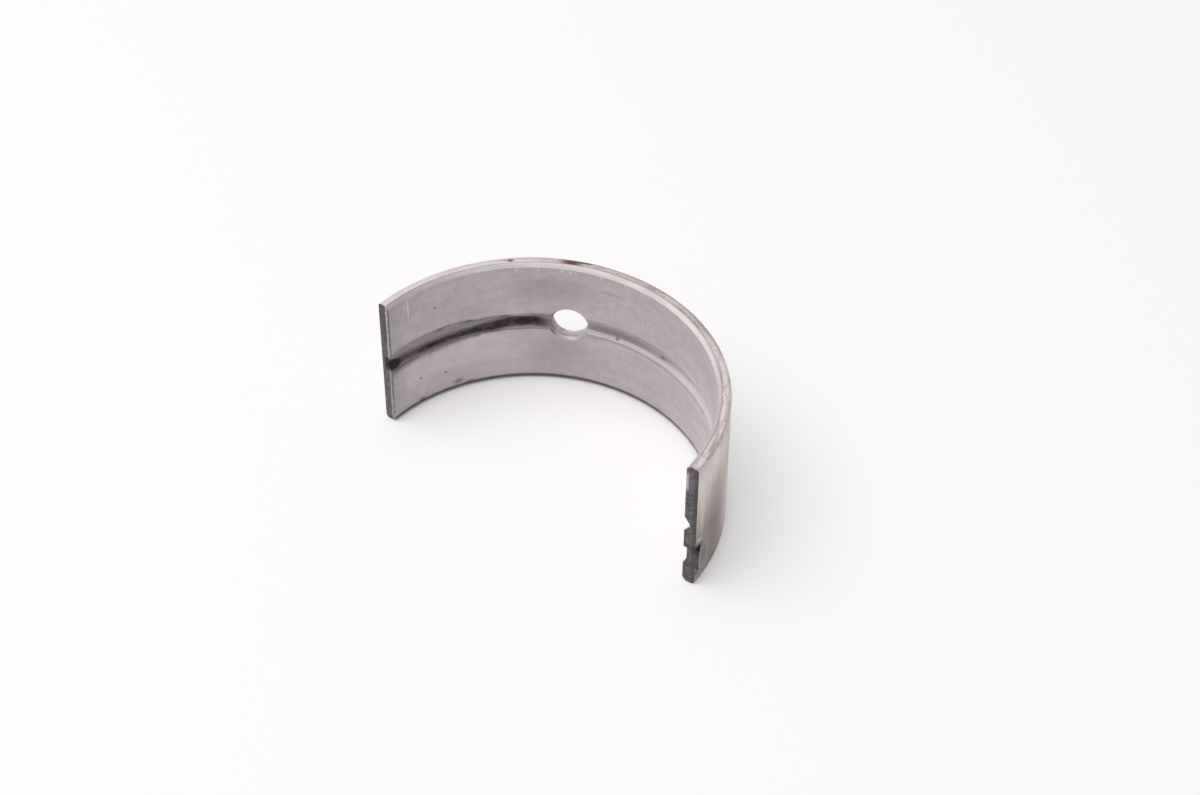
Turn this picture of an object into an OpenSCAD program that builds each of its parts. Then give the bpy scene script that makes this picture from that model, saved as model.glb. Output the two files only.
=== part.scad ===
// The grooved half of a plain crankshaft main bearing.
// A steel strip with a bonded bearing lining is bent to half a cylinder, chamfered
// along its edges, grooved for oil, pierced once for the oil feed, and lanced at
// one end to raise the tang that keeps it from turning in its housing.
// It stands on one rim, with the bore axis upright, the crown towards +Y and the
// open side towards -Y. The origin is on the bore axis at half the width.
// Lengths are in millimetres and angles in degrees.

/* [Shell] */
// Bore of the housing that the shell is pressed into
housing_d = 56; // [44:0.5:80]
// Wall thickness of the strip, steel and lining together
wall = 2; // [1.8:0.05:3]
// Width of the shell along the shaft
shell_w = 23; // [20:0.5:34]
// How much wider than its housing the shell stands before it is fitted
free_spread = 1.3; // [0:0.1:2.4]
// Chamfer along both edges of the bore
bore_chamfer = 0.6; // [0.2:0.05:0.8]
// Chamfer along both edges of the back
back_chamfer = 0.35; // [0.1:0.05:0.6]

/* [Oil groove] */
// Width of the groove's mouth at the bore
groove_w = 2.7; // [1.6:0.1:4]
// Depth of the groove below the bore
groove_depth = 0.95; // [0.4:0.05:1.4]
// Width of the groove's narrow floor
groove_floor_w = 0.3; // [0.1:0.05:0.8]

/* [Oil hole] */
// Diameter of the hole that lets oil in from the housing
hole_d = 5.5; // [3:0.1:8]
// Angle of the hole from the crown, towards the end without the tang
hole_angle = 25; // [0:1:50]
// Edge break of the hole at the bore
hole_break = 0.35; // [0.05:0.05:0.5]

/* [Locating tang] */
// Height of the tang's middle above the rim that the shell stands on
tang_height = 5.2; // [4:0.1:8]
// Width of the tang along the shaft
tang_w = 3.8; // [2.5:0.1:5]
// How far the tang stands out from the back
tang_rise = 0.75; // [0.3:0.05:1.2]
// Length of the tang's ramp along the back
tang_run = 1.6; // [1:0.1:4]
// Width of the notch that the punch leaves in the bore behind the tang
notch_w = 3.4; // [2:0.1:5]
// Depth of that notch at the parting face
notch_depth = 0.62; // [0.3:0.02:0.9]
// Length of the notch along the bore
notch_run = 1.8; // [1:0.1:4]

/* [Hidden] */
$fn = 180;
// small overshoot that keeps a cut clear of the face it starts from
over = 0.5;

// Bending keeps the length of the back, so a shell that springs open to a larger
// radius covers a little less than half a turn.
housing_r = housing_d / 2;
back_r = housing_r + free_spread / 2;
bore_r = back_r - wall;
half_angle = 90 * housing_r / back_r;
end_angle = 90 - half_angle;
sweep_angle = 2 * half_angle;
half_w = shell_w / 2;

// the hole is measured from the crown, which is at 90 degrees from +X
hole_dir = 90 + hole_angle;
tang_z = tang_height - half_w;

// how deep the lug is rooted in the wall
tang_root = wall / 2;
// where the ramps of the tang and of its notch run out on the back and on the bore
tang_out_r = sqrt(back_r * back_r - tang_run * tang_run);
notch_out_r = sqrt(bore_r * bore_r - notch_run * notch_run);

// Section of the strip: radius along x, shaft direction along y.
module strip_section() {
    polygon([
        [bore_r + bore_chamfer, -half_w],
        [back_r - back_chamfer, -half_w],
        [back_r, -half_w + back_chamfer],
        [back_r, half_w - back_chamfer],
        [back_r - back_chamfer, half_w],
        [bore_r + bore_chamfer, half_w],
        [bore_r, half_w - bore_chamfer],
        [bore_r, groove_w / 2],
        [bore_r + groove_depth, groove_floor_w / 2],
        [bore_r + groove_depth, -groove_floor_w / 2],
        [bore_r, -groove_w / 2],
        [bore_r, -half_w + bore_chamfer]
    ]);
}

// The strip bent round the bore axis, from the tang end to the plain end.
module bent_strip() {
    rotate([0, 0, end_angle])
        rotate_extrude(angle = sweep_angle)
            strip_section();
}

// A wedge at the tang end: radius along x, distance back from the parting face
// along y, with its width along the shaft centred on the tang.
module end_wedge(points, w) {
    rotate([0, 0, end_angle])
        translate([0, 0, tang_z - w / 2])
            linear_extrude(height = w)
                polygon(points);
}

// The lug that the punch pushes out of the back, flush with the parting face.
module tang_lug() {
    end_wedge([
        [back_r - tang_root, 0],
        [back_r + tang_rise, 0],
        [tang_out_r, tang_run],
        [tang_out_r - tang_root, tang_run]
    ], tang_w);
}

// The notch that the punch leaves in the bore, deepest at the parting face.
module tang_notch() {
    end_wedge([
        [bore_r - over, -over],
        [bore_r + notch_depth, -over],
        [bore_r + notch_depth, 0],
        [notch_out_r, notch_run],
        [notch_out_r - over, notch_run]
    ], notch_w);
}

// The oil feed through the wall at the groove, with its sharp edge at the bore broken.
module oil_hole() {
    hole_r = hole_d / 2;
    rotate([0, 0, hole_dir])
        rotate([0, 90, 0]) {
            translate([0, 0, bore_r - wall])
                cylinder(h = 3 * wall, r = hole_r);
            translate([0, 0, bore_r - hole_r])
                cylinder(h = hole_r + hole_break, r1 = 2 * hole_r + hole_break, r2 = hole_r);
        }
}

module bearing_shell() {
    color([0.66, 0.63, 0.64])
        difference() {
            union() {
                bent_strip();
                tang_lug();
            }
            tang_notch();
            oil_hole();
        }
}

bearing_shell();
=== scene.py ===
"""Looks of an engine bearing shell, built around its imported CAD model.

The shell is the grooved half of a plain crankshaft main bearing: a steel strip with a
bearing lining bonded to its inside, bent to half a cylinder. It stands on one rim with
its bore axis along +Z, its crown towards +Y and its open side towards -Y.
"""

import logging
import math
from dataclasses import dataclass, field
from enum import Enum
from typing import Any, Callable, Iterable, Sequence

import bpy
from mathutils import Matrix, Vector


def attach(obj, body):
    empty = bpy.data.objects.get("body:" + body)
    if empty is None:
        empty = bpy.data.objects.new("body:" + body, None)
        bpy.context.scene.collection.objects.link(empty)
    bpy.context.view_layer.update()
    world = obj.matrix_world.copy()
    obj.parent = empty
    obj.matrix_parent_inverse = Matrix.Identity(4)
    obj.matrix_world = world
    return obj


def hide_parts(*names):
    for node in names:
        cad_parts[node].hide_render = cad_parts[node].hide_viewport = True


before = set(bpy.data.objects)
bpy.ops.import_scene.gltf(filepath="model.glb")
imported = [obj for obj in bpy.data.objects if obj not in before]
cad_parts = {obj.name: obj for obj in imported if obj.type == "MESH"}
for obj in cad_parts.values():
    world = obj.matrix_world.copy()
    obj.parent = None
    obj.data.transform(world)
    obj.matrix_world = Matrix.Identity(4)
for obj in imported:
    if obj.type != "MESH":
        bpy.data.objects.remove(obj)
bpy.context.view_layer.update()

LOG = logging.getLogger("bearing_shell")
MM = 0.001

Socket = bpy.types.NodeSocket
Colour = tuple[float, float, float, float]


class Region(Enum):
    """The worked surfaces of the shell, each with a finish of its own."""

    BORE = 0
    GROOVE = 1
    CHAMFER = 2
    RIM = 3
    PARTING = 4
    BACK = 5
    HOLE = 6
    TANG = 7


class Cut(Enum):
    """What a tool body does to the blank."""

    REMOVE = "DIFFERENCE"
    JOIN = "UNION"


def srgb(code: str) -> Colour:
    """Turns an sRGB hex colour into a linear one.

    Args:
        code: Six hex digits, with or without a leading mark.

    Returns:
        Linear red, green and blue, with an alpha of 1.
    """
    digits = code.lstrip("#")
    linear = []
    for at in (0, 2, 4):
        value = int(digits[at : at + 2], 16) / 255
        linear.append(value / 12.92 if value <= 0.04045 else ((value + 0.055) / 1.055) ** 2.4)
    return (linear[0], linear[1], linear[2], 1.0)


def add(
    tree: bpy.types.NodeTree,
    kind: str,
    feeds: dict[Any, Any] | None = None,
    out: int | str = 0,
    **settings: Any,
) -> Socket:
    """Adds one node with its settings, values and links.

    Args:
        tree: Node tree that takes the node.
        kind: Node type without its common prefix.
        feeds: Input name or number, to a socket to link or a plain value.
        out: Name or number of the output to give back.
        settings: Properties of the node.

    Returns:
        The chosen output.
    """
    node = tree.nodes.new("ShaderNode" + kind)
    for name, value in settings.items():
        setattr(node, name, value)
    for key, value in (feeds or {}).items():
        if isinstance(value, bpy.types.NodeSocket):
            tree.links.new(value, node.inputs[key])
        else:
            node.inputs[key].default_value = value
    return node.outputs[out]


@dataclass(frozen=True)
class Spot:
    """A mark on the shell, placed on the unrolled strip.

    Attributes:
        angle: Degrees round the bore axis from +X.
        place: Millimetres along the shaft from half width, or from the axis on a rim.
        half_arc: Half its length along the strip, in millimetres.
        half_place: Half its length the other way, in millimetres.
        strength: How much of it shows at its middle.
    """

    angle: float
    place: float
    half_arc: float
    half_place: float
    strength: float = 1.0


class Strip:
    """Places on the unrolled strip, read from Object coordinates in millimetres.

    Attributes:
        x: Distance from the bore axis towards the tang end.
        angle: Degrees round the bore axis from +X.
        across: Distance along the shaft from half width.
        radius: Distance from the bore axis.
        flat: Distance along the strip, along the shaft and from the axis, as one vector.
    """

    UNROLL_R = 27.65

    def __init__(self, tree: bpy.types.NodeTree) -> None:
        """Adds the nodes that unroll the shell.

        Args:
            tree: Node tree of the material.
        """
        self.tree = tree
        place = add(tree, "TexCoord", out="Object")
        solid = add(tree, "VectorMath", {0: place, "Scale": 1 / MM}, operation="SCALE")
        self.x = add(tree, "SeparateXYZ", {0: solid})
        y, self.across = self.x.node.outputs[1], self.x.node.outputs[2]
        turn = add(tree, "Math", {0: y, 1: self.x}, operation="ARCTAN2")
        self.angle = add(tree, "Math", {0: turn, 1: 180 / math.pi}, operation="MULTIPLY")
        arc = add(tree, "Math", {0: turn, 1: self.UNROLL_R}, operation="MULTIPLY")
        level = add(tree, "CombineXYZ", {0: self.x, 1: y})
        self.radius = add(tree, "VectorMath", {0: level}, out=1, operation="LENGTH")
        self.flat = add(tree, "CombineXYZ", {0: arc, 1: self.across, 2: self.radius})

    def grain(self, along: float, over: float, detail: float = 2.0, seed: float = 0.0) -> Socket:
        """Draws noise stretched along the strip or over it.

        Args:
            along: Size of a grain along the strip, in millimetres.
            over: Size of a grain along the shaft and through the wall, in millimetres.
            detail: How many finer layers it has.
            seed: Moves the pattern to another place.

        Returns:
            A value about 0.5.
        """
        scaled = add(
            self.tree,
            "VectorMath",
            {0: self.flat, 1: (1 / along, 1 / over, 1 / over), 2: (seed, seed * 1.7, seed * 0.6)},
            operation="MULTIPLY_ADD",
        )
        feeds = {"Vector": scaled, "Scale": 1.0, "Detail": detail, "Roughness": 0.55}
        return add(self.tree, "TexNoise", feeds)

    def stray(self, value: Socket, along: float, over: float, reach: float, seed: float) -> Socket:
        """Pushes a value about with noise, so that an edge drawn from it is ragged.

        Args:
            value: What is pushed.
            along: Size of the raggedness along the strip, in millimetres.
            over: Its size the other way, in millimetres.
            reach: How far the value is pushed, from one side to the other.
            seed: Moves the pattern to another place.

        Returns:
            The pushed value.
        """
        noise = self.grain(along, over, detail=3, seed=seed)
        return self.sum((noise, reach), (value, 1.0), start=-reach / 2)

    def window(
        self,
        value: Socket,
        rise: tuple[Socket | float, float] | None = None,
        fall: tuple[float, Socket | float] | None = None,
        top: float = 1.0,
    ) -> Socket:
        """Shows a part of a range, with soft edges.

        Args:
            value: What is read.
            rise: Where it starts to show, and where it shows fully.
            fall: Where it starts to fade, and where it is gone.
            top: The most that it gives.

        Returns:
            A value from 0 to its top.
        """
        edges = ([rise] if rise else []) + ([fall[::-1]] if fall else [])
        shown = [
            add(
                self.tree,
                "MapRange",
                {0: value, 1: gone, 2: full, 4: 1.0 if index else top},
                interpolation_type="SMOOTHSTEP",
            )
            for index, (gone, full) in enumerate(edges)
        ]
        return self.both(*shown)

    def sum(self, *parts: tuple[Socket, float], start: float = 0.0) -> Socket:
        """Adds up patterns by weight.

        Args:
            parts: Each pattern with its weight.
            start: What the sum starts from.

        Returns:
            The sum.
        """
        total: Socket | float = start
        for value, weight in parts:
            total = add(self.tree, "Math", {0: value, 1: weight, 2: total}, operation="MULTIPLY_ADD")
        return total

    def both(self, *masks: Socket) -> Socket:
        """Shows only where all of some masks show.

        Args:
            masks: Values from 0 to 1.

        Returns:
            Their product.
        """
        total = masks[0]
        for mask in masks[1:]:
            total = add(self.tree, "Math", {0: total, 1: mask}, operation="MULTIPLY")
        return total

    def most(self, *masks: Socket) -> Socket:
        """Shows where any of some masks shows.

        Args:
            masks: Values from 0 to 1.

        Returns:
            The largest of them.
        """
        total = masks[0]
        for mask in masks[1:]:
            total = add(self.tree, "Math", {0: total, 1: mask}, operation="MAXIMUM")
        return total

    def marks(self, spots: Iterable[Spot], ragged: float = 0.0, on_rim: bool = False) -> Socket:
        """Draws soft spots at given places.

        Args:
            spots: The marks.
            ragged: How far noise pushes their outlines, in millimetres.
            on_rim: Reads each spot's place from the axis and not along the shaft.

        Returns:
            A value from 0 to 1.
        """
        place = self.flat
        if ragged:
            feeds = {"Vector": self.flat, "Scale": 1.6, "Detail": 2.0}
            stray = add(self.tree, "TexNoise", feeds, out=1)
            feeds = {0: stray, 1: (2 * ragged,) * 3, 2: place}
            place = add(self.tree, "VectorMath", feeds, operation="MULTIPLY_ADD")
        drawn = []
        for spot in spots:
            arc = math.radians(spot.angle) * self.UNROLL_R + ragged
            level = spot.place + ragged
            middle = (arc, 0.0, level) if on_rim else (arc, level, 0.0)
            over = 1 / spot.half_place
            reach = (1 / spot.half_arc, 0.0, over) if on_rim else (1 / spot.half_arc, over, 0.0)
            away = add(self.tree, "VectorMath", {0: place, 1: middle}, operation="SUBTRACT")
            scaled = add(self.tree, "VectorMath", {0: away, 1: reach}, operation="MULTIPLY")
            far = add(self.tree, "VectorMath", {0: scaled}, out=1, operation="LENGTH")
            drawn.append(self.window(far, fall=(0.2, 1.0), top=spot.strength))
        return self.most(*drawn)


class Finish:
    """A material that starts as a plain metal surface and takes patterns."""

    def __init__(self, name: str, metallic: float) -> None:
        """Makes the material with its shader.

        Args:
            name: Name of the material.
            metallic: How far the surface is bare metal.
        """
        self.material = bpy.data.materials.new(name)
        self.material.use_nodes = True
        self.tree = self.material.node_tree
        self.shader = self.tree.nodes["Principled BSDF"]
        self.shader.inputs["Metallic"].default_value = metallic
        self.strip = Strip(self.tree)

    def coats(self, base: str, *coats: tuple[Socket, str]) -> Socket:
        """Lays shades and stains over a base colour, in order.

        Args:
            base: Colour under all the others.
            coats: Each coat's mask and colour.

        Returns:
            The colour.
        """
        under: Socket | Colour = srgb(base)
        for mask, top in coats:
            under = add(self.tree, "Mix", {0: mask, 6: under, 7: srgb(top)}, out=2, data_type="RGBA")
        return under

    def done(
        self, colour: Socket, tone: Socket, rough: tuple[float, float], height: Socket, depth: float
    ) -> bpy.types.Material:
        """Links colour, roughness and fine relief to the shader.

        Args:
            colour: The colour.
            tone: Pattern of the roughness, from 0 to 1.
            rough: Roughness at 0 and at 1.
            height: Pattern of the relief, from 0 to 1.
            depth: Height of the relief, in millimetres.

        Returns:
            The finished material.
        """
        roughness = add(self.tree, "MapRange", {0: tone, 3: rough[0], 4: rough[1]})
        normal = add(self.tree, "Bump", {"Distance": depth * MM, "Height": height})
        for socket, name in ((colour, "Base Color"), (roughness, "Roughness"), (normal, "Normal")):
            self.tree.links.new(socket, self.shader.inputs[name])
        return self.material


@dataclass(frozen=True)
class BoredLining:
    """Bearing lining alloy, fine bored and run in oil.

    It is satin and warm grey. Faint feed marks lie round the bore, it is dulled in
    patches, and burnt oil has spread from the groove over it. Painted light makes it
    paler towards the tang end and low down towards the plain end, and painted shade
    darkens the groove's upper edge and the foot of the bore.
    """

    name: str = "bored_lining_alloy"
    light: str = "#cac1c5"
    dark: str = "#b6aeb1"
    painted_light: str = "#e9e1e5"
    dulled: str = "#948b8e"
    smudge_and_shadow: str = "#4d4346"
    foot_shadow: str = "#4a3433"
    scratch: str = "#ece5e5"
    # feed marks are about 0.1 mm apart, too fine to show, so they are drawn this coarse
    ring_mm: float = 0.4
    ring_run_mm: float = 40.0

    def make(self) -> bpy.types.Material:
        """Builds the material.

        Returns:
            The material.
        """
        kit = Finish(self.name, metallic=0.4)
        strip = kit.strip
        rings = strip.grain(self.ring_run_mm, self.ring_mm, detail=3)
        haze = strip.grain(9, 3.0, detail=3, seed=3.1)
        blots = strip.grain(1.8, 1.5, detail=3, seed=1.9)
        specks = strip.grain(0.45, 0.4, detail=2, seed=5.5)
        mixed = strip.sum((rings, 0.15), (haze, 0.33), (blots, 0.32), (specks, 0.2))
        tone = strip.window(mixed, rise=(0.34, 0.66))
        # painted light: paler low on the bore towards the plain end
        low_painted_light = strip.both(
            strip.window(strip.across, rise=(-9.0, -5.0), fall=(-2.2, -1.7), top=0.24),
            strip.window(strip.angle, rise=(128, 138), fall=(170, 177)),
        )
        dull = (
            Spot(121, 7.0, 10.0, 3.8, 0.42),
            Spot(119, -5.8, 7.0, 4.4, 0.34),
            Spot(176, 0, 3.0, 14, 0.3),
            Spot(100, 8.0, 4.0, 0.4, 0.4),
            Spot(107, -1.8, 3.0, 0.8, 0.4),
            Spot(124, 7.0, 5.0, 0.35, 0.4),
        )
        grime = (
            Spot(152.5, -9.8, 1.1, 0.8, 0.6),
            Spot(148.6, -10.5, 1.4, 0.5, 0.5),
            Spot(141.0, -10.8, 2.0, 0.35, 0.4),
            Spot(157.0, -10.7, 0.9, 0.4, 0.4),
            Spot(166.1, -10.4, 0.8, 0.6, 0.65),
            Spot(170.2, -10.8, 1.4, 0.5, 0.7),
            Spot(175.5, -10.9, 1.5, 0.6, 0.6),
        )
        pits = (
            Spot(159.6, 6.6, 0.42, 0.24, 0.75),
            Spot(166.2, -6.05, 0.26, 0.42, 0.8),
            Spot(156.8, -7.1, 0.44, 0.3, 0.75),
            Spot(153.8, -5.3, 0.25, 0.22, 0.5),
            Spot(87.4, 5.4, 0.2, 0.42, 0.5),
            Spot(85.9, 4.95, 0.3, 0.2, 0.45),
            Spot(71.5, 5.8, 0.5, 0.4, 0.2),
        )
        scratches = (
            Spot(169.8, 8.9, 0.2, 2.6, 0.9),
            Spot(171.2, 9.6, 0.14, 1.4, 0.5),
            Spot(131.9, 10.6, 0.22, 0.6, 0.7),
            Spot(124.9, 10.5, 0.2, 0.6, 0.6),
            Spot(117.1, 10.5, 0.16, 0.5, 0.6),
            Spot(114.5, 10.4, 0.22, 0.6, 0.6),
            Spot(104.1, 10.6, 0.3, 0.35, 0.5),
        )
        colour = kit.coats(
            self.dark,
            (tone, self.light),
            # painted light: paler towards the tang end, where the bore faces the lamp
            (strip.window(strip.angle, fall=(35, 90), top=0.24), self.painted_light),
            # painted light, low on the bore towards the plain end
            (low_painted_light, self.painted_light),
            (strip.marks(dull, ragged=0.8), self.dulled),
            # burnt oil beside the groove, with painted shadow along its upper edge
            (self.groove_oil_and_shadow(strip), self.smudge_and_shadow),
            (strip.marks(grime, ragged=0.5), self.smudge_and_shadow),
            # painted shadow: a dark line along the foot of the bore, for the shade in the gap under the
            # lower chamfer
            (strip.window(strip.across, fall=(-10.7, -10.35), top=0.9), self.foot_shadow),
            (strip.marks(pits, ragged=0.12), self.smudge_and_shadow),
            (strip.marks(scratches), self.scratch),
        )
        return kit.done(colour, tone, (0.56, 0.46), rings, 0.0015)

    def groove_oil_and_shadow(self, strip: Strip) -> Socket:
        """Draws burnt oil beside the groove, mostly from the hole to the plain end, with
        painted shadow along the groove's upper edge towards the tang end and a thin
        darker line below its lower edge.

        Args:
            strip: Places on the strip.

        Returns:
            A mask.
        """
        across = strip.stray(strip.across, 1.2, 0.55, 1.3, seed=5.2)
        far = strip.window(strip.angle, rise=(138, 158), top=-1.35)
        edge = strip.sum((far, 1.0), start=-1.45)
        foot = strip.window(across, rise=(edge, -1.15), fall=(-0.5, 0.5), top=0.75)
        line = strip.sum(
            (strip.window(strip.angle, rise=(143, 151)), 0.4),
            (strip.window(strip.angle, rise=(152, 163)), 0.15),
            start=1.42,
        )
        calm = strip.stray(strip.across, 2.6, 1.2, 0.5, seed=2.3)
        gap = strip.sum((calm, 1.0), (line, -1.0))
        off = add(strip.tree, "Math", {0: gap}, operation="ABSOLUTE")
        patchy = strip.window(strip.grain(4.0, 1.6, detail=3, seed=8.1), rise=(0.36, 0.64))
        thin = strip.both(
            strip.window(off, fall=(0.1, 0.6), top=0.9),
            strip.sum((patchy, 0.45), start=0.55),
            strip.sum((strip.window(strip.angle, fall=(157, 163)), 0.5), start=0.5),
        )
        head = strip.window(gap, fall=(-0.1, 0.2), top=0.42)
        over = strip.both(
            strip.most(thin, head),
            strip.window(strip.across, rise=(0.5, 1.0)),
            strip.window(strip.angle, rise=(117, 123)),
        )
        lip = strip.both(
            strip.window(strip.across, rise=(-1.75, -1.5), fall=(-1.4, -1.2), top=0.22),
            strip.window(strip.angle, rise=(48, 56), fall=(110, 114)),
        )
        # painted shadow along the groove's upper edge, towards the tang end
        upper_edge_shadow = strip.both(
            strip.window(strip.across, rise=(1.2, 1.3), fall=(1.5, 2.05), top=0.34),
            strip.window(strip.angle, rise=(62, 84), fall=(110, 114)),
        )
        under = strip.both(foot, strip.window(strip.angle, rise=(126, 140)))
        return strip.most(under, over, lip, upper_edge_shadow)


@dataclass(frozen=True)
class CutGroove:
    """The oil groove, cut through the lining into the steel.

    Its flanks are bright from the cutter, and painted light makes them paler still
    towards the tang end. Burnt oil lies in it from the hole to the plain end, and
    along its root for a way on the other side it is darker, partly with oil and
    partly with painted shade.
    """

    name: str = "cut_oil_groove"
    light: str = "#e2d9da"
    dark: str = "#cdc3c4"
    flank_painted_light: str = "#ece5e8"
    black: str = "#382b34"
    brown: str = "#6d6160"
    bore_r: float = 26.65

    def make(self) -> bpy.types.Material:
        """Builds the material.

        Returns:
            The material.
        """
        kit = Finish(self.name, metallic=0.4)
        strip = kit.strip
        lines = strip.window(strip.grain(30, 0.25, detail=2, seed=2.2), rise=(0.3, 0.7))
        deep = strip.sum((strip.stray(strip.radius, 2.2, 0.7, 0.3, seed=4.4), 1.0), start=-self.bore_r)
        # darker along the root beyond the hole: partly oil, partly painted shade
        root = strip.both(
            strip.window(deep, rise=(0.42, 0.62), top=0.55),
            strip.window(strip.angle, rise=(66, 100), fall=(107, 113)),
        )
        crease = strip.both(
            strip.window(deep, rise=(0.7, 0.9), top=0.35),
            strip.window(strip.angle, rise=(58, 66), fall=(80, 88)),
        )
        lip = strip.both(
            strip.window(deep, fall=(0.05, 0.2), top=0.4),
            strip.window(strip.across, fall=(-0.9, -0.7)),
            strip.window(strip.angle, rise=(46, 56)),
        )
        spots = (
            Spot(98.5, -0.8, 0.5, 0.3, 0.65),
            Spot(81.2, -0.4, 0.9, 0.3, 0.5),
        )
        burnt = self.burnt_oil(strip, deep)
        colour = kit.coats(
            self.dark,
            (lines, self.light),
            # painted light: the flanks paler towards the tang end, lifting the shade deep in the groove
            (strip.window(strip.angle, fall=(62, 90)), self.flank_painted_light),
            # root, crease and lip darkened in brown: oil, with painted shade in the root
            (strip.most(root, crease, lip), self.brown),
            (strip.marks(spots, ragged=0.15), self.black),
            (burnt, self.black),
        )
        caked = strip.both(strip.grain(0.8, 0.5, detail=4, seed=6.1), burnt)
        return kit.done(colour, burnt, (0.42, 0.66), caked, 0.05)

    def burnt_oil(self, strip: Strip, deep: Socket) -> Socket:
        """Draws the black deposit from the hole to the plain end.

        A thin film of it covers the groove there. It is thickest over the root near the
        hole, along the lower flank further on, and over the whole section at the end.

        Args:
            strip: Places on the strip.
            deep: Ragged depth below the bore.

        Returns:
            A mask.
        """
        climb = strip.sum((strip.across, 1.0), (deep, 1.0))
        middle = strip.sum(
            (strip.window(strip.angle, rise=(122, 127)), 0.42),
            (strip.window(strip.angle, rise=(133, 142)), -0.6),
            (strip.window(strip.angle, rise=(142, 154)), -0.24),
            (strip.window(strip.angle, rise=(164, 177)), 0.47),
        )
        gap = strip.sum((climb, 1.0), (middle, -1.0))
        off = add(strip.tree, "Math", {0: gap}, operation="ABSOLUTE")
        wide = strip.most(
            strip.window(strip.angle, fall=(138, 150)),
            strip.window(strip.angle, rise=(173, 176)),
        )
        band = strip.window(strip.sum((off, 1.0), (wide, -0.35)), fall=(0.15, 1.65))
        mottle = strip.window(strip.grain(1.5, 0.7, detail=3, seed=7.7), rise=(0.46, 0.64))
        level = strip.sum(
            (strip.window(strip.angle, rise=(120, 126)), 0.4),
            (strip.window(strip.angle, rise=(164, 170)), -0.14),
            (strip.window(strip.angle, rise=(172.5, 175)), 0.3),
            (mottle, -0.1),
            start=0.6,
        )
        film = strip.sum((strip.window(strip.angle, rise=(165, 172)), 0.15), start=0.42)
        laid = strip.most(strip.both(band, level), film)
        return strip.both(laid, strip.window(strip.angle, rise=(116, 119)))


@dataclass(frozen=True)
class CutChamfer:
    """The chamfers along the bore, cut in the lining: bright, with lines along them.

    They carry a painted highlight where they face the lamp, and painted shade towards
    the plain end and along the lower chamfer.
    """

    name: str = "cut_lining_chamfer"
    light: str = "#d8d0d0"
    dark: str = "#cac1c2"
    grey: str = "#b6adb0"
    painted_light: str = "#f4eff1"
    line: str = "#80746f"
    grime: str = "#4a3f3d"

    def make(self) -> bpy.types.Material:
        """Builds the material.

        Returns:
            The material.
        """
        kit = Finish(self.name, metallic=0.2)
        strip = kit.strip
        lines = strip.grain(25, 0.12, detail=2, seed=8.3)
        blots = strip.grain(3.5, 1.2, detail=2, seed=1.3)
        tone = strip.window(strip.sum((lines, 0.5), (blots, 0.5)), rise=(0.36, 0.62))
        # painted shade: the chamfer greyed in patches towards the plain end, where it faces away from the
        # lamp
        dull = strip.both(
            strip.window(strip.angle, rise=(140, 166), top=0.9),
            strip.window(blots, rise=(0.2, 0.55)),
        )
        colour = kit.coats(
            self.dark,
            (tone, self.light),
            # painted highlight: a paler band where the chamfer faces the lamp
            (strip.window(strip.angle, rise=(44, 60), fall=(70, 86), top=0.35), self.painted_light),
            (strip.window(strip.angle, fall=(26, 44), top=0.4), self.grey),
            # painted shade towards the plain end
            (dull, self.grey),
            (strip.window(strip.across, rise=(11.4, 11.46), top=0.5), self.line),
            # painted shade: dark along the lower chamfer, where it stands on the table
            (strip.window(strip.across, fall=(-11.0, -10.0), top=0.9), self.grime),
        )
        return kit.done(colour, tone, (0.62, 0.54), lines, 0.002)


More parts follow.
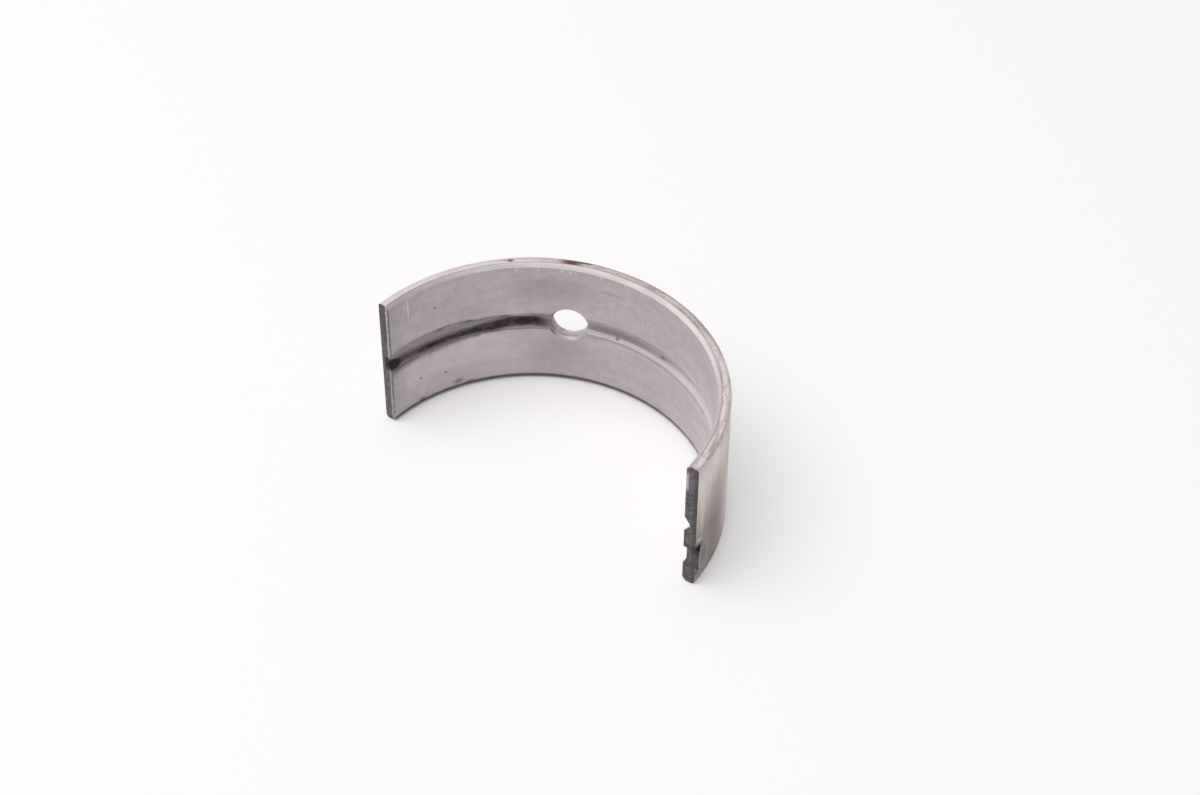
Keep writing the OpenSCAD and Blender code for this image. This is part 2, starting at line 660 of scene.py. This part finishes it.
@dataclass(frozen=True)
class TurnedRim:
    """The steel edges of the strip, turned and handled.

    They are pale beige, with tan and rust-brown stains and thin dark lines along
    the chamfers.
    """

    name: str = "turned_steel_rim"
    light: str = "#ece2e1"
    dark: str = "#cfc3c2"
    tan: str = "#ab9c92"
    rust: str = "#6d4f49"
    spot: str = "#3c3331"
    edge: str = "#80746f"
    worn: str = "#f2e9e5"

    def make(self) -> bpy.types.Material:
        """Builds the material.

        Returns:
            The material.
        """
        kit = Finish(self.name, metallic=0.45)
        strip = kit.strip
        patches = strip.grain(4.0, 0.8, detail=3, seed=2.7)
        lines = strip.grain(30, 0.16, detail=2, seed=9.4)
        fine = strip.grain(0.9, 0.35, detail=3, seed=4.1)
        tone = strip.window(strip.sum((patches, 0.45), (lines, 0.25), (fine, 0.3)), rise=(0.36, 0.62))
        tarnish = strip.both(
            strip.window(strip.grain(6.0, 1.0, detail=3, seed=5.8), rise=(0.46, 0.66), top=0.6),
            strip.window(strip.angle, fall=(106, 128)),
        )
        browned = strip.window(strip.angle, rise=(54, 70), fall=(112, 130), top=0.32)
        outer = strip.both(
            strip.window(strip.radius, rise=(28.05, 28.3), top=0.55),
            strip.window(strip.angle, rise=(40, 75), fall=(118, 150)),
        )
        inner = strip.both(
            strip.window(strip.radius, fall=(27.3, 27.46), top=0.75),
            strip.window(strip.angle, fall=(118, 150)),
        )
        specks = strip.both(
            strip.window(strip.grain(0.7, 0.35, detail=3, seed=6.9), rise=(0.54, 0.68), top=0.5),
            strip.window(strip.angle, fall=(112, 130)),
        )
        rust = (
            Spot(114.6, 27.75, 2.4, 1.1, 1.0),
            Spot(112.4, 28.1, 2.4, 0.5, 0.9),
            Spot(66.0, 27.5, 2.2, 0.2, 0.5),
            Spot(73.5, 27.45, 2.6, 0.16, 0.5),
            Spot(41.5, 27.45, 2.6, 0.18, 0.4),
        )
        spots = (
            Spot(133.4, 27.75, 0.8, 0.42, 0.9),
            Spot(135.2, 27.9, 0.8, 0.2, 0.4),
            Spot(109.4, 28.15, 1.0, 0.22, 0.9),
            Spot(106.4, 28.25, 1.2, 0.14, 0.6),
            Spot(13.0, 28.0, 3.2, 0.4, 0.35),
        )
        bright = (
            Spot(46.8, 27.8, 1.6, 0.3, 0.8),
            Spot(40.0, 27.6, 2.0, 0.3, 0.4),
            Spot(33.8, 27.5, 1.4, 0.25, 0.8),
            Spot(60.0, 27.7, 3.0, 0.25, 0.5),
            Spot(27.0, 27.7, 3.5, 0.5, 0.8),
        )
        colour = kit.coats(
            self.dark,
            (tone, self.light),
            (tarnish, self.tan),
            (browned, self.tan),
            (strip.most(outer, inner, specks), self.edge),
            (strip.marks(bright, ragged=0.2, on_rim=True), self.worn),
            (strip.marks(rust, ragged=0.2, on_rim=True), self.rust),
            (strip.marks(spots, ragged=0.12, on_rim=True), self.spot),
        )
        return kit.done(colour, tone, (0.54, 0.4), lines, 0.004)


@dataclass(frozen=True)
class BroachedEnd:
    """The parting faces, broached and stained dark by oil.

    At the plain end the lining shows as a paler strip along the bore, with a bright
    line where it is bonded to the steel.
    """

    name: str = "broached_parting_face"
    light: str = "#6f696c"
    dark: str = "#454144"
    lining: str = "#857d80"
    oiled: str = "#3a3b3a"
    browned: str = "#5c4f4a"
    bond: str = "#d4cbcb"
    bare: str = "#b9b1ba"
    soot: str = "#241d20"
    bond_r: float = 27.2

    def make(self) -> bpy.types.Material:
        """Builds the material.

        Returns:
            The material.
        """
        kit = Finish(self.name, metallic=0.3)
        strip = kit.strip
        mottle = strip.grain(0.5, 0.55, detail=4, seed=3.3)
        streak = strip.grain(0.3, 2.5, detail=2, seed=1.1)
        tone = strip.window(strip.sum((mottle, 0.6), (streak, 0.4)), rise=(0.36, 0.64))
        wander = strip.stray(strip.radius, 0.9, 0.9, 0.5, seed=7.2)
        plain_end = strip.window(strip.x, fall=(-1.0, 1.0))
        tang_end = strip.window(strip.x, rise=(-1.0, 1.0))
        inside = strip.window(wander, fall=(self.bond_r - 0.1, self.bond_r + 0.1), top=0.6)
        off = add(strip.tree, "Math", {0: wander, 1: self.bond_r}, operation="SUBTRACT")
        off = add(strip.tree, "Math", {0: off}, operation="ABSOLUTE")
        worn = strip.sum((strip.window(strip.across, rise=(-3.0, 1.0)), 0.35), start=0.5)
        chips = strip.both(
            strip.window(strip.grain(0.7, 0.9, detail=3, seed=4.9), rise=(0.5, 0.62), top=0.8),
            strip.window(strip.across, fall=(-9.0, -6.5)),
            strip.window(strip.radius, fall=(27.6, 28.2)),
        )
        soot = strip.both(
            strip.window(strip.across, rise=(-1.6, -0.8), fall=(0.9, 1.8)),
            strip.window(strip.radius, fall=(27.9, 28.3)),
        )
        bare = strip.both(
            strip.window(wander, fall=(27.0, 27.25)),
            strip.window(strip.across, rise=(6.2, 7.6), fall=(9.6, 10.5)),
        )
        # dark beside the lug's top and over its end: soot, with painted shade
        torn = strip.both(
            strip.window(strip.across, rise=(-5.7, -5.0), fall=(-4.2, -3.5), top=0.8),
            strip.window(wander, rise=(27.8, 28.3)),
        )
        brown = strip.window(strip.grain(1.2, 1.6, detail=3, seed=6.3), rise=(0.5, 0.66), top=0.5)
        colour = kit.coats(
            self.dark,
            (tone, self.light),
            (brown, self.browned),
            (strip.both(strip.window(wander, rise=(27.85, 28.25), top=0.7), tang_end), self.oiled),
            (strip.both(inside, plain_end), self.lining),
            (strip.both(strip.window(off, fall=(0.03, 0.2)), worn, plain_end), self.bond),
            (strip.both(chips, plain_end), self.bond),
            (strip.both(soot, plain_end), self.soot),
            (strip.both(bare, tang_end), self.bare),
            # soot and painted shade beside the lug
            (strip.both(torn, tang_end), self.soot),
        )
        return kit.done(colour, tone, (0.6, 0.48), mottle, 0.05)


@dataclass(frozen=True)
class RolledBack:
    """The steel back, rolled and seated in its housing: pale, streaked along the shaft,
    with painted shade low down near the tang end.
    """

    name: str = "rolled_steel_back"
    light: str = "#e2d7d2"
    dark: str = "#c9bdb7"
    darker_low: str = "#8a7e76"
    shade: str = "#8f8480"
    low_shade: str = "#655b57"
    grime: str = "#39322f"
    worn: str = "#e8dfdb"

    def make(self) -> bpy.types.Material:
        """Builds the material.

        Returns:
            The material.
        """
        kit = Finish(self.name, metallic=0.5)
        strip = kit.strip
        streaks = strip.grain(1.6, 16, detail=2, seed=6.6)
        fine = strip.grain(0.25, 3.0, detail=2, seed=2.9)
        clouds = strip.grain(5, 6, detail=3, seed=8.8)
        tone = strip.window(strip.sum((streaks, 0.35), (fine, 0.1), (clouds, 0.55)), rise=(0.3, 0.7))
        # patchy, darker towards the bottom, away from the tang end
        low = strip.both(
            strip.window(clouds, rise=(0.35, 0.6), top=0.55),
            strip.window(strip.across, fall=(-9.0, -1.0)),
        )
        level = strip.stray(strip.across, 3.0, 4.0, 3.0, seed=3.7)
        # painted shade: darker towards the bottom near the tang end
        handled = strip.both(
            strip.window(level, fall=(-4.0, 6.0), top=0.68),
            strip.window(strip.angle, fall=(10, 32)),
        )
        band = strip.both(
            strip.window(strip.angle, rise=(7, 12), fall=(15, 23), top=0.48),
            strip.window(strip.across, fall=(2.0, 9.0)),
        )
        dirt = (
            Spot(3.6, -4.05, 1.3, 0.5, 0.95),
            Spot(5.6, -4.5, 0.8, 0.7, 0.7),
            Spot(3.0, -9.3, 1.4, 1.0, 0.6),
            Spot(6.0, -7.0, 1.8, 2.8, 0.42),
        )
        # paler rubbed marks near the tang end; the one high up is painted light, paler towards the top
        rubbed = (
            Spot(4.2, -3.05, 0.9, 0.4, 0.75),
            Spot(4.0, 8.0, 2.0, 3.0, 0.3),
            Spot(5.3, 2.5, 1.0, 6.5, 0.4),
        )
        colour = kit.coats(
            self.dark,
            (tone, self.light),
            (band, self.shade),
            (strip.both(low, strip.window(strip.angle, rise=(20, 40))), self.darker_low),
            # painted shade, low down near the tang end
            (handled, self.low_shade),
            (strip.marks(rubbed, ragged=0.3), self.worn),
            (strip.marks(dirt, ragged=0.3), self.grime),
        )
        return kit.done(colour, tone, (0.54, 0.4), fine, 0.005)


@dataclass(frozen=True)
class PiercedWall:
    """The wall of the oil hole and its broken edges: bright sheared metal."""

    name: str = "pierced_hole_wall"
    light: str = "#ebe0de"
    dark: str = "#cfc3c3"
    bond: str = "#948889"
    broken: str = "#b0a6a8"
    oil: str = "#5b5053"

    def make(self) -> bpy.types.Material:
        """Builds the material.

        Returns:
            The material.
        """
        kit = Finish(self.name, metallic=0.4)
        strip = kit.strip
        bands = strip.grain(6, 0.5, detail=2, seed=1.4)
        tone = strip.window(bands, rise=(0.35, 0.65))
        seam = strip.window(strip.radius, rise=(27.0, 27.12), fall=(27.25, 27.4), top=0.5)
        broken = strip.window(strip.radius, fall=(26.85, 27.05), top=0.5)
        oily = strip.window(strip.angle, rise=(118.8, 120.4), top=0.6)
        colour = kit.coats(
            self.dark,
            (tone, self.light),
            (seam, self.bond),
            (broken, self.broken),
            (oily, self.oil),
        )
        return kit.done(colour, tone, (0.5, 0.4), bands, 0.01)


@dataclass(frozen=True)
class LancedTang:
    """The tang and the notch behind it: steel torn and rubbed by the punch, its top face dark with grime
    and painted shade.
    """

    name: str = "lanced_tang_steel"
    light: str = "#7d7472"
    dark: str = "#3f3836"
    rubbed: str = "#b3a8a3"
    scored: str = "#82776f"
    sheared: str = "#241c1a"
    top_z: float = -4.4
    low_z: float = -8.2

    def make(self) -> bpy.types.Material:
        """Builds the material.

        Returns:
            The material.
        """
        kit = Finish(self.name, metallic=0.4)
        strip = kit.strip
        torn = strip.grain(0.5, 0.9, detail=4, seed=9.1)
        tone = strip.window(torn, rise=(0.35, 0.65))
        ramp = strip.both(
            strip.window(strip.radius, rise=(28.5, 28.62)),
            strip.window(
                strip.across,
                rise=(self.low_z + 0.04, self.low_z + 0.3),
                fall=(self.top_z - 0.3, self.top_z - 0.04),
            ),
        )
        scores = strip.window(strip.grain(6.0, 0.35, detail=2, seed=3.4), rise=(0.36, 0.66), top=0.6)
        # dark over the lug's top face: grime, with painted shade
        side = strip.both(
            strip.window(strip.across, rise=(self.top_z - 0.2, self.top_z - 0.08)),
            strip.window(strip.radius, rise=(28.3, 28.5), top=0.9),
        )
        colour = kit.coats(
            self.dark,
            (tone, self.light),
            (ramp, self.rubbed),
            (strip.both(ramp, scores), self.scored),
            # grime and painted shade on the lug's top
            (side, self.sheared),
        )
        return kit.done(colour, tone, (0.58, 0.44), torn, 0.05)


@dataclass
class BearingShell:
    """The bent, chamfered, grooved and pierced strip, with its lanced tang.

    Lengths are in millimetres and angles in degrees, as in the CAD model.
    """

    back_r: float = 28.65
    wall: float = 2.0
    width: float = 23.0
    end_angle: float = 2.042
    bore_chamfer: float = 0.6
    back_chamfer: float = 0.35
    groove_w: float = 2.7
    groove_depth: float = 0.95
    groove_floor_w: float = 0.3
    hole_d: float = 5.5
    hole_dir: float = 115.0
    hole_break: float = 0.35
    tang_z: float = -6.3
    tang_w: float = 3.8
    tang_rise: float = 0.75
    tang_run: float = 1.6
    notch_w: float = 3.4
    notch_depth: float = 0.62
    notch_run: float = 1.8
    edge_soft: float = 0.07
    end_soft: float = 0.05
    tang_soft: float = 0.12
    flush: float = 0.03
    hole_back_break: float = 0.22
    hole_sides: int = 96
    bend_steps: int = 240
    smooth_angle: float = 28.0
    piece: bpy.types.Object | None = field(default=None, repr=False)

    @property
    def bore_r(self) -> float:
        """Radius of the bore."""
        return self.back_r - self.wall

    @property
    def bend_start(self) -> float:
        """Angle at which the bend starts, short of the end by what breaks the end's edge."""
        return self.end_angle + math.degrees(self.end_soft / self.bore_r)

    def at(self, angle: float, radius: float, across: float) -> Vector:
        """Gives a place in metres.

        Args:
            angle: Degrees round the bore axis from +X.
            radius: Distance from the axis, in millimetres.
            across: Distance along the shaft from half width, in millimetres.

        Returns:
            The place, in metres.
        """
        turn = math.radians(angle)
        return Vector((radius * math.cos(turn), radius * math.sin(turn), across)) * MM

    def pick(self, wanted: Callable[[Vector], bool]) -> None:
        """Selects vertices of the active piece in edit mode.

        Args:
            wanted: Says whether a vertex at a place, in millimetres, is wanted.
        """
        bpy.ops.mesh.select_all(action="DESELECT")
        bpy.ops.object.mode_set(mode="OBJECT")
        for vertex in bpy.context.active_object.data.vertices:
            vertex.select = wanted(vertex.co / MM)
        bpy.ops.object.mode_set(mode="EDIT")

    def pick_faces(self, wanted: Callable[[Vector, Vector], bool]) -> None:
        """Selects faces of the active piece in edit mode.

        Args:
            wanted: Says whether a face with a middle, in millimetres, and a normal is wanted.
        """
        bpy.ops.mesh.select_all(action="DESELECT")
        bpy.ops.object.mode_set(mode="OBJECT")
        for face in bpy.context.active_object.data.polygons:
            face.select = wanted(face.center / MM, face.normal)
        bpy.ops.object.mode_set(mode="EDIT")

    def section(self) -> None:
        """Shapes the strip's section at the tang end, in edit mode, from a plane."""
        middle_r = self.bore_r + self.wall / 2
        bpy.ops.mesh.primitive_plane_add(
            size=1.0,
            location=self.at(self.bend_start, middle_r, 0),
            rotation=(math.pi / 2, 0, math.radians(self.bend_start)),
        )
        self.piece = bpy.context.active_object
        self.piece.name = "bearing_shell_dressed"
        self.piece.scale = (self.wall * MM, self.width * MM, 1)
        bpy.ops.object.transform_apply(location=True, rotation=True, scale=True)
        bpy.ops.object.mode_set(mode="EDIT")
        bpy.ops.mesh.select_mode(type="VERT")
        for inside, size in ((True, self.bore_chamfer), (False, self.back_chamfer)):
            self.pick(lambda p: (p.xy.length < middle_r) == inside)
            bpy.ops.mesh.bevel(offset=size * MM, segments=1, affect="VERTICES")
        for across in (self.groove_w / 2, self.groove_floor_w / 2):
            for side in (-1, 1):
                bpy.ops.mesh.select_all(action="SELECT")
                level = (0, 0, side * across * MM)
                bpy.ops.mesh.bisect(plane_co=level, plane_no=(0, 0, 1), threshold=1e-7)
        floor_half = self.groove_floor_w / 2 + 0.01
        self.pick(lambda p: p.xy.length < middle_r and abs(p.z) < floor_half)
        bpy.ops.transform.translate(value=self.at(self.bend_start, self.groove_depth, 0))
        bpy.ops.mesh.select_all(action="SELECT")
        bpy.ops.mesh.dissolve_faces()
        self.pick(lambda p: p.xy.length > self.back_r - 0.01 and abs(p.z) < self.groove_w)
        bpy.ops.mesh.dissolve_verts()
        bpy.ops.mesh.select_all(action="SELECT")
        bpy.ops.mesh.bevel(offset=self.edge_soft * MM, segments=3, affect="VERTICES")

    def bend(self) -> None:
        """Spins the section round the bore axis and breaks the edges of both ends."""
        bpy.ops.mesh.select_all(action="SELECT")
        bpy.ops.mesh.spin(
            steps=self.bend_steps,
            angle=math.radians(180 - 2 * self.bend_start),
            center=(0, 0, 0),
            axis=(0, 0, -1),
        )
        bpy.ops.mesh.select_all(action="SELECT")
        bpy.ops.mesh.remove_doubles(threshold=0.002 * MM)
        bpy.ops.mesh.select_all(action="SELECT")
        bpy.ops.mesh.normals_make_consistent(inside=False)
        bpy.ops.mesh.select_mode(type="FACE")
        for end, facing in ((self.bend_start, -90), (180 - self.bend_start, 90)):
            normal = self.at(end + facing, 1, 0).normalized()
            self.pick_faces(lambda c, n: n.dot(normal) > 0.999 and abs(c.dot(normal)) < 0.1)
            bpy.ops.mesh.inset(thickness=self.end_soft * MM, depth=self.end_soft * MM)
        bpy.ops.mesh.select_mode(type="VERT")

    def tool(self, name: str, box: Sequence[float], middle: Sequence[float]) -> bpy.types.Object:
        """Adds a block at the tang end, in edit mode, as the start of a tool body.

        Args:
            name: Name of the body.
            box: Its size outwards, back from the parting face and along the shaft.
            middle: Its middle in the same three directions.

        Returns:
            The body.
        """
        place = self.at(self.end_angle, middle[0], middle[2])
        place += self.at(self.end_angle + 90, middle[1], 0)
        bpy.ops.mesh.primitive_cube_add(
            size=1.0,
            location=place,
            rotation=(0, 0, math.radians(self.end_angle)),
        )
        body = bpy.context.active_object
        body.name = name
        body.scale = Vector(box) * MM
        bpy.ops.object.transform_apply(location=True, rotation=True, scale=True)
        bpy.ops.object.mode_set(mode="EDIT")
        bpy.ops.mesh.select_mode(type="VERT")
        return body

    def from_end(self, place: Vector) -> Vector:
        """Measures a place from the tang end's parting face.

        Args:
            place: A place or direction.

        Returns:
            How far it is outwards, back from the face and along the shaft.
        """
        turned = Matrix.Rotation(-math.radians(self.end_angle), 3, "Z")
        return turned @ place

    def ramp(self, past: float, outer: float, inner: float) -> None:
        """Finishes a tool body: slopes its sides towards the far end and softens its edges.

        Args:
            past: Distance back from the parting face that only the far end passes.
            outer: How far the far outer edge moves, outwards.
            inner: How far the far inner edge moves, outwards.
        """
        mesh = bpy.context.active_object.data
        middle = sum((self.from_end(v.co).x for v in mesh.vertices), 0.0) / len(mesh.vertices) / MM
        for above, move in ((True, outer), (False, inner)):
            self.pick(
                lambda p: self.from_end(p).y > past and (self.from_end(p).x > middle) == above
            )
            bpy.ops.transform.translate(value=self.at(self.end_angle, move, 0))
        bpy.ops.mesh.select_all(action="SELECT")
        bpy.ops.mesh.bevel(offset=self.tang_soft * MM, segments=3, affect="EDGES")
        bpy.ops.object.mode_set(mode="OBJECT")

    def tang_tool(self) -> bpy.types.Object:
        """Shapes the lug that the punch pushes out of the back.

        Returns:
            The body to join to the blank.
        """
        root = self.wall / 2
        out_r = math.sqrt(self.back_r**2 - self.tang_run**2)
        body = self.tool(
            "tang_tool",
            (root + self.tang_rise, self.tang_run, self.tang_w),
            (self.back_r + (self.tang_rise - root) / 2, self.tang_run / 2 + self.flush, self.tang_z),
        )
        drop = out_r - self.back_r
        self.ramp(self.tang_run / 2, drop - self.tang_rise, drop)
        return body

    def notch_tool(self) -> bpy.types.Object:
        """Shapes the punch that leaves the notch in the bore behind the tang.

        Returns:
            The body to take from the blank.
        """
        out_r = math.sqrt(self.bore_r**2 - self.notch_run**2)
        slope = (self.bore_r + self.notch_depth - out_r) / self.notch_run
        over = self.wall / 4
        top = self.notch_depth + slope * over
        body = self.tool(
            "notch_tool",
            (top + over, self.notch_run + over, self.notch_w),
            (self.bore_r + (top - over) / 2, (self.notch_run - over) / 2, self.tang_z),
        )
        self.ramp(self.notch_run / 2, out_r - self.bore_r - top, out_r - self.bore_r)
        return body

    def hole_tool(self) -> bpy.types.Object:
        """Shapes the punch for the oil hole, flared where it breaks the edges.

        Returns:
            The body to take from the blank.
        """
        radius = self.hole_d / 2
        inner = self.bore_r + self.hole_break
        outer = self.back_r - self.hole_back_break
        bpy.ops.mesh.primitive_cylinder_add(
            vertices=self.hole_sides,
            radius=radius * MM,
            depth=(outer - inner) * MM,
            location=self.at(self.hole_dir, (inner + outer) / 2, 0),
            rotation=(0, math.pi / 2, math.radians(self.hole_dir)),
        )
        body = bpy.context.active_object
        body.name = "hole_tool"
        bpy.ops.object.transform_apply(location=True, rotation=True, scale=True)
        bpy.ops.object.mode_set(mode="EDIT")
        bpy.ops.mesh.select_mode(type="VERT")
        axis = self.at(self.hole_dir, 1, 0) / MM
        for end, away in ((inner, -radius - self.hole_break), (outer, radius)):
            self.pick(lambda p: abs(p.dot(axis) - end) < 0.05)
            bpy.ops.mesh.extrude_region_move(
                TRANSFORM_OT_translate={"value": self.at(self.hole_dir, away, 0)}
            )
            flare = 1 + abs(away) / radius
            bpy.ops.transform.resize(
                value=(flare, flare, flare),
                center_override=self.at(self.hole_dir, end + away, 0),
            )
        bpy.ops.object.mode_set(mode="OBJECT")
        return body

    def work(self, body: bpy.types.Object, cut: Cut) -> None:
        """Joins a tool body to the blank or takes it away, and deletes it.

        Args:
            body: The tool body.
            cut: What it does.
        """
        assert self.piece is not None
        bpy.ops.object.select_all(action="DESELECT")
        self.piece.select_set(True)
        bpy.context.view_layer.objects.active = self.piece
        bpy.ops.object.modifier_add(type="BOOLEAN")
        modifier = self.piece.modifiers[-1]
        modifier.operation = cut.value
        modifier.solver = "EXACT"
        modifier.object = body
        bpy.ops.object.modifier_apply(modifier=modifier.name)
        bpy.data.objects.remove(body)

    def region_of(self, place: Vector, normal: Vector) -> Region:
        """Says which worked surface a face belongs to.

        Args:
            place: Middle of the face, in millimetres.
            normal: Its normal.

        Returns:
            The surface.
        """
        radius = place.xy.length
        outward = Vector((place.x, place.y, 0)).normalized().dot(normal)
        height = abs(place.z)
        axis = self.at(self.hole_dir, 1, 0) / MM
        depth = place.dot(axis)
        off_axis = (place - depth * axis).length
        hole_r = self.hole_d / 2
        flare = max(0.0, self.bore_r + self.hole_break - depth, depth - self.back_r + self.hole_back_break)
        from_tang_end = self.from_end(place)
        mirrored = Vector((-place.x, place.y, place.z))
        end_gap = min(from_tang_end.y, self.from_end(mirrored).y)
        by_tang = abs(place.z - self.tang_z) < self.tang_w / 2 + 0.05 and from_tang_end.y < 2
        if depth > 0 and abs(off_axis - hole_r - flare) < 0.04:
            return Region.HOLE
        if end_gap < self.end_soft + 0.02 and abs(normal.y) > 0.5 and abs(outward) < 0.9:
            return Region.PARTING
        if by_tang and (radius > self.back_r + 0.02 or self.bore_r + 0.02 < radius < self.back_r - 0.1):
            return Region.TANG
        if height > self.width / 2 - self.bore_chamfer and outward < -0.1:
            return Region.CHAMFER
        if height > self.width / 2 - self.back_chamfer and abs(normal.z) > 0.1:
            return Region.RIM
        if radius > self.bore_r + 0.01 and height < self.groove_w / 2 and outward < 0.5:
            return Region.GROOVE
        return Region.BORE if outward < 0 else Region.BACK

    def report(self) -> None:
        """Logs what the piece measures."""
        assert self.piece is not None
        mesh = self.piece.data
        low = [min(v.co[i] for v in mesh.vertices) / MM for i in range(3)]
        high = [max(v.co[i] for v in mesh.vertices) / MM for i in range(3)]
        box = " ".join(f"{a:.2f}..{b:.2f}" for a, b in zip(low, high))
        LOG.info("%s: %d faces, box %s mm", self.piece.name, len(mesh.polygons), box)

    def build(self) -> bpy.types.Object:
        """Models the shell.

        Returns:
            The finished piece.
        """
        self.section()
        self.bend()
        bpy.ops.object.mode_set(mode="OBJECT")
        self.work(self.tang_tool(), Cut.JOIN)
        self.work(self.notch_tool(), Cut.REMOVE)
        self.work(self.hole_tool(), Cut.REMOVE)
        assert self.piece is not None
        bpy.ops.object.shade_smooth_by_angle(angle=math.radians(self.smooth_angle))
        bpy.ops.object.modifier_add(type="WEIGHTED_NORMAL")
        modifier = self.piece.modifiers[-1]
        modifier.keep_sharp = True
        bpy.ops.object.modifier_apply(modifier=modifier.name)
        return self.piece

    def dress(self) -> None:
        """Gives the piece its finishes and ties it to the CAD model."""
        assert self.piece is not None
        mesh = self.piece.data
        finishes = {
            Region.BORE: BoredLining(),
            Region.GROOVE: CutGroove(),
            Region.CHAMFER: CutChamfer(),
            Region.RIM: TurnedRim(),
            Region.PARTING: BroachedEnd(),
            Region.BACK: RolledBack(),
            Region.HOLE: PiercedWall(),
            Region.TANG: LancedTang(),
        }
        for region in Region:
            mesh.materials.append(finishes[region].make())
        counts = dict.fromkeys(Region, 0)
        for face in mesh.polygons:
            region = self.region_of(face.center / MM, face.normal)
            face.material_index = region.value
            counts[region] += 1
        LOG.info("faces: %s", {region.name: count for region, count in counts.items()})
        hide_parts("bearing_shell")
        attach(self.piece, "root")


@dataclass
class Studio:
    """A white table under soft light, and the camera at the photograph's place.

    Lengths are in millimetres and angles in degrees.
    """

    floor_z: float = -11.5
    floor_size: float = 40000.0
    floor_colour: str = "#f4f2f3"
    floor_seen: str = "#fbf9fa"
    floor_lift: float = 0.4
    lift_from: float = 300.0
    lift_to: float = 800.0
    contact: float = 3.0
    sky_colour: str = "#fffdfe"
    sky_strength: float = 0.37
    lamp_at: tuple[float, float, float] = (-220.0, -200.0, 900.0)
    lamp_size: float = 1000.0
    lamp_power: float = 9.4
    camera_at: tuple[float, float, float] = (156.698, -195.289, 248.751)
    azimuth: float = 36.433
    elevation: float = 43.689
    roll: float = 0.488
    lens: float = 73.495

    def camera(self) -> None:
        """Makes the camera."""
        bpy.ops.object.camera_add()
        camera = bpy.context.active_object
        camera.data.lens = self.lens
        camera.data.sensor_width = 36
        camera.data.sensor_fit = "HORIZONTAL"
        camera.data.clip_start = 0.01
        turn, rise, lean = (math.radians(v) for v in (self.azimuth, self.elevation, self.roll))
        back = Vector((math.sin(turn) * math.cos(rise), -math.cos(turn) * math.cos(rise), math.sin(rise)))
        right = Vector((math.cos(turn), math.sin(turn), 0))
        up = back.cross(right)
        side = math.cos(lean) * right + math.sin(lean) * up
        top = -math.sin(lean) * right + math.cos(lean) * up
        axes = Matrix((side, top, back)).transposed().to_4x4()
        camera.matrix_world = Matrix.Translation(Vector(self.camera_at) * MM) @ axes
        bpy.context.scene.camera = camera

    def floor(self) -> None:
        """Makes the table top, which looks paler to the eye than it lights the shell."""
        bpy.ops.mesh.primitive_plane_add(size=self.floor_size * MM, location=(0, 0, self.floor_z * MM))
        plane = bpy.context.active_object
        plane.name = "table_top"
        white = bpy.data.materials.new("white_table_laminate")
        white.use_nodes = True
        tree = white.node_tree
        tree.nodes.remove(tree.nodes["Principled BSDF"])
        seen = add(tree, "LightPath", out="Is Camera Ray")
        rays = seen.node.outputs
        for ray in ("Is Glossy Ray", "Is Transmission Ray"):
            seen = add(tree, "Math", {0: seen, 1: rays[ray]}, operation="MAXIMUM")
        open_sky = add(tree, "AmbientOcclusion", {"Distance": self.contact * MM}, out="AO", samples=8)
        foot = add(tree, "MapRange", {0: open_sky, 1: 0.1, 2: 0.8, 3: 0.0, 4: self.floor_lift})
        place = add(tree, "TexCoord", out="Object")
        far = add(tree, "VectorMath", {0: place}, out=1, operation="LENGTH")
        near, full = self.lift_from * MM, self.lift_to * MM
        foot = add(tree, "MapRange", {0: far, 1: near, 2: full, 3: foot, 4: 1.0})
        lift = add(tree, "Math", {0: seen, 1: foot}, operation="MULTIPLY")
        matte = add(tree, "BsdfDiffuse", {"Color": srgb(self.floor_colour)})
        glow = add(tree, "Emission", {"Color": srgb(self.floor_seen)})
        surface = add(tree, "MixShader", {0: lift, 1: matte, 2: glow})
        tree.links.new(surface, tree.nodes["Material Output"].inputs["Surface"])
        plane.data.materials.append(white)

    def light(self) -> None:
        """Sets the sky and the lamp."""
        world = bpy.data.worlds.new("soft_room")
        bpy.context.scene.world = world
        world.use_nodes = True
        sky = world.node_tree.nodes["Background"].inputs
        sky["Color"].default_value = srgb(self.sky_colour)
        sky["Strength"].default_value = self.sky_strength
        bpy.ops.object.light_add(type="AREA", location=Vector(self.lamp_at) * MM)
        lamp = bpy.context.active_object
        lamp.name = "overhead_softbox"
        lamp.data.shape = "SQUARE"
        lamp.data.size = self.lamp_size * MM
        lamp.data.energy = self.lamp_power
        lamp.rotation_euler = (-lamp.location).to_track_quat("-Z", "Y").to_euler()


def main() -> None:
    """Builds the shell and its setting, and reports each piece."""
    logging.basicConfig(level=logging.INFO, format="%(name)s: %(message)s")
    shell = BearingShell()
    shell.build()
    shell.report()
    shell.dress()
    studio = Studio()
    studio.camera()
    studio.floor()
    studio.light()
    bpy.context.scene.view_settings.view_transform = "Standard"


if __name__ == "__main__":
    main()
